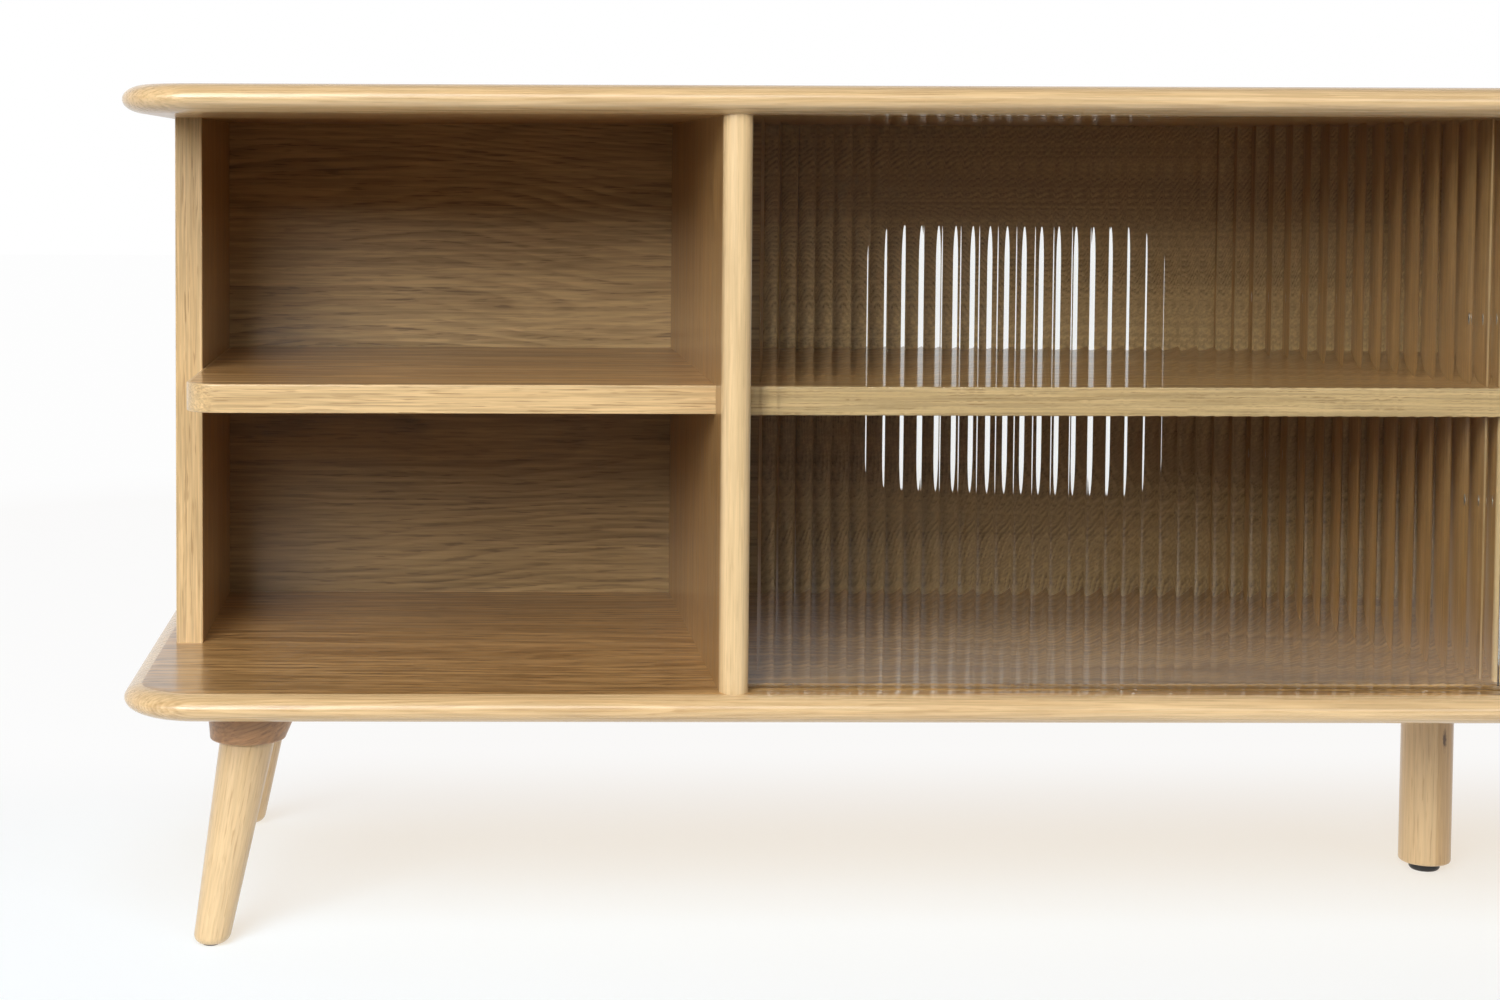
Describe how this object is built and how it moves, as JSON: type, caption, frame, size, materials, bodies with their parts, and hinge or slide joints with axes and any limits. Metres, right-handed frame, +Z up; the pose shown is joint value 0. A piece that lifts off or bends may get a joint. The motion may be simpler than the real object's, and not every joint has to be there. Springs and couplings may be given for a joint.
{
  "type": "media cabinet",
  "caption": "Long low media cabinet in light oak, with open shelved end bays, sliding fluted-glass doors between them and splayed turned legs.",
  "frame": {"origin": "on the floor, under the middle of the boards", "axes": "+X along the cabinet to the right seen from its front, +Y to its back, +Z up"},
  "size_m": [1.74, 0.4, 0.5388],
  "materials": {
    "oak": "satin lacquered oak, grain along the board",
    "oak_veneer": "satin lacquered oak veneer",
    "leg_oak": "satin lacquered turned oak",
    "brown_wood": "satin lacquered brown wood",
    "beech": "bare beech",
    "steel": "nickel plated",
    "black_plastic": "moulded",
    "glass": "clear, fluted on the front and smooth on the back"
  },
  "bodies": {
    "root": {"bottom_board": "oak", "centre_leg": "leg_oak", "centre_leg_bolt": "steel", "centre_leg_glide": "black_plastic", "centre_partition": "oak_veneer", "front_left_foot_pad": "black_plastic", "front_left_leg": "leg_oak", "front_left_leg_block": "brown_wood", "front_left_leg_bolt": "steel", "front_right_foot_pad": "black_plastic", "front_right_leg": "leg_oak", "front_right_leg_block": "brown_wood", "front_right_leg_bolt": "steel", "front_runner": "black_plastic", "left_divider": "oak_veneer", "left_glass_bay_back": "oak_veneer", "left_glass_bay_shelf": "oak_veneer", "left_open_bay_back": "oak_veneer", "left_open_shelf": "oak_veneer", "left_shelf_dowel_inner_front": "beech", "left_shelf_dowel_inner_rear": "beech", "left_shelf_dowel_outer_front": "beech", "left_shelf_dowel_outer_rear": "beech", "left_shelf_support_inner_front": "steel", "left_shelf_support_inner_rear": "steel", "left_shelf_support_outer_front": "steel", "left_shelf_support_outer_rear": "steel", "left_side_panel": "oak_veneer", "rear_left_foot_pad": "black_plastic", "rear_left_leg": "leg_oak", "rear_left_leg_block": "brown_wood", "rear_left_leg_bolt": "steel", "rear_right_foot_pad": "black_plastic", "rear_right_leg": "leg_oak", "rear_right_leg_block": "brown_wood", "rear_right_leg_bolt": "steel", "rear_runner": "black_plastic", "right_divider": "oak_veneer", "right_glass_bay_back": "oak_veneer", "right_glass_bay_shelf": "oak_veneer", "right_open_bay_back": "oak_veneer", "right_open_shelf": "oak_veneer", "right_shelf_dowel_inner_front": "beech", "right_shelf_dowel_inner_rear": "beech", "right_shelf_dowel_outer_front": "beech", "right_shelf_dowel_outer_rear": "beech", "right_shelf_support_inner_front": "steel", "right_shelf_support_inner_rear": "steel", "right_shelf_support_outer_front": "steel", "right_shelf_support_outer_rear": "steel", "right_side_panel": "oak_veneer", "top_board": "oak"},
    "left_door": {"left_glass_door": "glass"},
    "right_door": {"right_glass_door": "glass"}
  },
  "joints": [
    {"name": "left_door_slide", "type": "slide", "parent": "root", "child": "left_door", "axis": [1, 0, 0], "range_m": [0, 0.475]},
    {"name": "right_door_slide", "type": "slide", "parent": "root", "child": "right_door", "axis": [1, 0, 0], "range_m": [-0.475, 0]}
  ]
}
